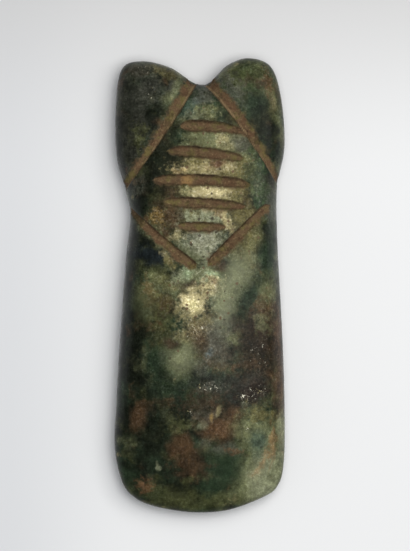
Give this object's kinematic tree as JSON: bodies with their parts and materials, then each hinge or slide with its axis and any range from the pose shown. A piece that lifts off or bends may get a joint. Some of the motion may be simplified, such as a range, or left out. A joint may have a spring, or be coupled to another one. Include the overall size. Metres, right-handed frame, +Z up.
{
  "type": "polished stone axe head",
  "caption": "Flat polished greenstone axe head lying on its back: curved blunt bit, pinched waist, notched butt with two rounded lobes, and a sawn lozenge crossed by bars.",
  "frame": {"origin": "middle of the footprint, on the surface that the axe lies on", "axes": "+X across the axe to the side of the taller lobe, +Y from the bit to the butt, +Z up out of the carved face"},
  "size_m": [0.045, 0.12, 0.018],
  "materials": {
    "greenstone": "satin"
  },
  "bodies": {
    "root": {"axe_head": "greenstone"}
  },
  "joints": []
}
